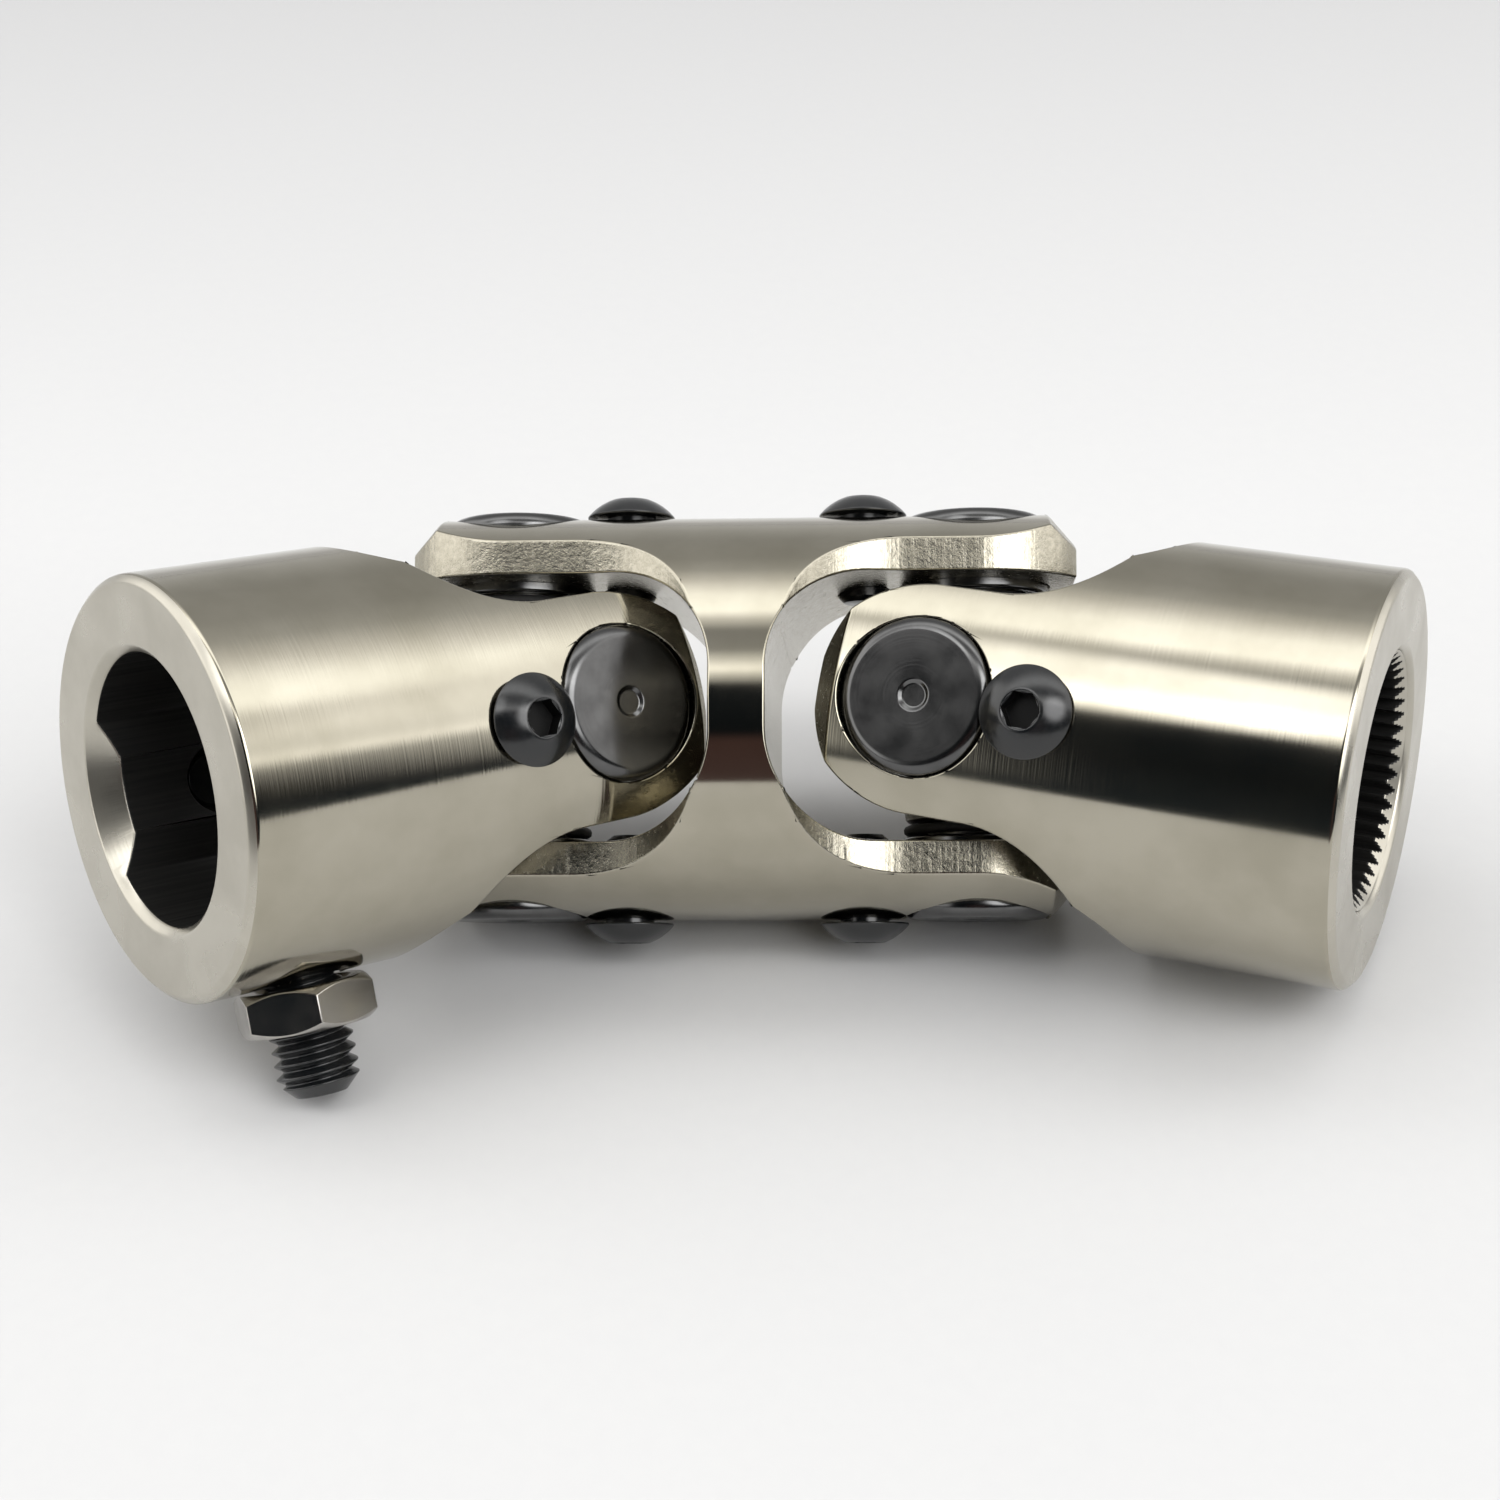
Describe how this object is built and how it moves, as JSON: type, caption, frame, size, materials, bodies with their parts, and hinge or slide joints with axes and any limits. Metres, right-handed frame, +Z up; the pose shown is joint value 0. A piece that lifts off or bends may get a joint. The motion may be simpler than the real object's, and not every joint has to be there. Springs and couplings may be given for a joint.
{
  "type": "universal joint shaft",
  "caption": "Double universal joint for a steering shaft: a forked coupler carries a needle-bearing cross at each end, one end yoke with a double-flat bore and one with a toothed bore.",
  "frame": {"origin": "on the surface the part rests on, under the middle of its box", "axes": "+Z up from the resting surface; +X along the coupler towards the toothed yoke; +Y away from the set screw side"},
  "size_m": [0.1324, 0.06, 0.0487],
  "materials": {
    "nickel_steel": "satin nickel plate over fine turning marks",
    "cross_steel": "ground forging",
    "cap_steel": "dark polished, drawn",
    "needle_steel": "ground bright",
    "black_oxide": "black oxide, slightly oily",
    "zinc_plate": "bright zinc",
    "seal_rubber": "matt"
  },
  "bodies": {
    "coupler": {"coupler": "nickel_steel", "bearing_cap_dd_coupler_top": "cap_steel", "needle_ring_dd_coupler_top": "needle_steel", "retaining_screw_dd_coupler_top": "black_oxide", "bearing_cap_dd_coupler_bottom": "cap_steel", "needle_ring_dd_coupler_bottom": "needle_steel", "retaining_screw_dd_coupler_bottom": "black_oxide", "bearing_cap_spline_coupler_top": "cap_steel", "needle_ring_spline_coupler_top": "needle_steel", "retaining_screw_spline_coupler_top": "black_oxide", "bearing_cap_spline_coupler_bottom": "cap_steel", "needle_ring_spline_coupler_bottom": "needle_steel", "retaining_screw_spline_coupler_bottom": "black_oxide"},
    "cross_dd": {"cross_dd": "cross_steel", "seal_dd_coupler_top": "seal_rubber", "seal_dd_coupler_bottom": "seal_rubber", "seal_dd_yoke_front": "seal_rubber", "seal_dd_yoke_rear": "seal_rubber"},
    "yoke_dd": {"yoke_dd": "nickel_steel", "bearing_cap_dd_yoke_front": "cap_steel", "needle_ring_dd_yoke_front": "needle_steel", "retaining_screw_dd_yoke_front": "black_oxide", "bearing_cap_dd_yoke_rear": "cap_steel", "needle_ring_dd_yoke_rear": "needle_steel", "retaining_screw_dd_yoke_rear": "black_oxide"},
    "cross_spline": {"cross_spline": "cross_steel", "seal_spline_coupler_top": "seal_rubber", "seal_spline_coupler_bottom": "seal_rubber", "seal_spline_yoke_front": "seal_rubber", "seal_spline_yoke_rear": "seal_rubber"},
    "yoke_spline": {"yoke_spline": "nickel_steel", "bearing_cap_spline_yoke_front": "cap_steel", "needle_ring_spline_yoke_front": "needle_steel", "retaining_screw_spline_yoke_front": "black_oxide", "bearing_cap_spline_yoke_rear": "cap_steel", "needle_ring_spline_yoke_rear": "needle_steel", "retaining_screw_spline_yoke_rear": "black_oxide"},
    "set_screw": {"set_screw": "black_oxide"},
    "jam_nut": {"jam_nut": "zinc_plate"},
    "set_screw_flat": {"set_screw_flat": "black_oxide"}
  },
  "joints": [
    {"name": "dd_swing", "type": "hinge", "parent": "coupler", "child": "cross_dd", "pos_m": [-0.02324, 0.00968, 0.02005], "axis": [0.0047, 0.66, 0.7512], "range_deg": [-78.5, 0.9]},
    {"name": "dd_dip", "type": "hinge", "parent": "cross_dd", "child": "yoke_dd", "pos_m": [-0.02324, 0.00968, 0.02005], "axis": [0.6298, -0.5855, 0.5104], "range_deg": [-33.5, 7.5]},
    {"name": "spline_swing", "type": "hinge", "parent": "coupler", "child": "cross_spline", "pos_m": [0.02176, 0.00968, 0.01977], "axis": [-0.0047, -0.66, -0.7512], "range_deg": [-58.2, 21.2]},
    {"name": "spline_dip", "type": "hinge", "parent": "cross_spline", "child": "yoke_spline", "pos_m": [0.02176, 0.00968, 0.01977], "axis": [0.3134, 0.7124, -0.6279], "range_deg": [-31.5, 9.5]},
    {"name": "set_screw_feed", "type": "slide", "parent": "yoke_dd", "child": "set_screw", "axis": [0.1701, -0.5372, -0.8261], "range_m": [-0.0001, 0.003]},
    {"name": "flat_screw_feed", "type": "slide", "parent": "yoke_dd", "child": "set_screw_flat", "axis": [-0.6298, 0.5855, -0.5104], "range_m": [-0.0001, 0.003]},
    {"name": "jam_nut_travel", "type": "slide", "parent": "set_screw", "child": "jam_nut", "axis": [0.1701, -0.5372, -0.8261], "range_m": [-0.0001, 0.0035]}
  ]
}
